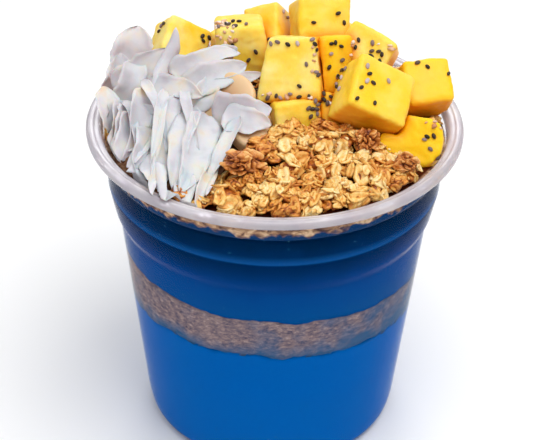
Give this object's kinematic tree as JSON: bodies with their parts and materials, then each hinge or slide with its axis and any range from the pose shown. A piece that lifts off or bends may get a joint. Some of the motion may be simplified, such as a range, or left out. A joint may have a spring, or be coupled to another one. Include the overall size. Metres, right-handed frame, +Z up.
{
  "type": "acai bowl",
  "caption": "Clear round tub of blue smoothie with a granola layer, heaped with granola, mango chunks, coconut flakes, banana and walnut.",
  "frame": {"origin": "under the middle of the tub's foot, on the surface it stands on", "axes": "+Z up along the tub's axis, -Y towards the viewer of the picture, +X to the viewer's right"},
  "size_m": [0.117, 0.117, 0.1368],
  "materials": {
    "clear_plastic": "clear, faintly milky",
    "blue_smoothie": "smooth, wet",
    "soaked_granola": "grainy, dulled by the smoothie",
    "granola": "toasted, rough",
    "coconut": "dry, satin",
    "mango": "moist",
    "walnut": "toasted, ridged",
    "banana": "moist, soft"
  },
  "bodies": {
    "root": {"tub": "clear_plastic", "smoothie_lower": "blue_smoothie", "granola_layer": "soaked_granola", "smoothie_upper": "blue_smoothie", "granola_heap": "granola", "coconut_flakes": "coconut", "mango_chunk_1": "mango", "mango_chunk_2": "mango", "mango_chunk_3": "mango", "mango_chunk_4": "mango", "mango_chunk_5": "mango", "mango_chunk_6": "mango", "mango_chunk_7": "mango", "mango_chunk_8": "mango", "mango_chunk_9": "mango", "mango_chunk_10": "mango", "mango_chunk_11": "mango", "mango_chunk_12": "mango", "mango_chunk_13": "mango", "mango_chunk_14": "mango", "walnut_piece_1": "walnut", "walnut_piece_2": "walnut", "walnut_piece_3": "walnut", "banana_slice_1": "banana", "banana_slice_2": "banana"}
  },
  "joints": []
}
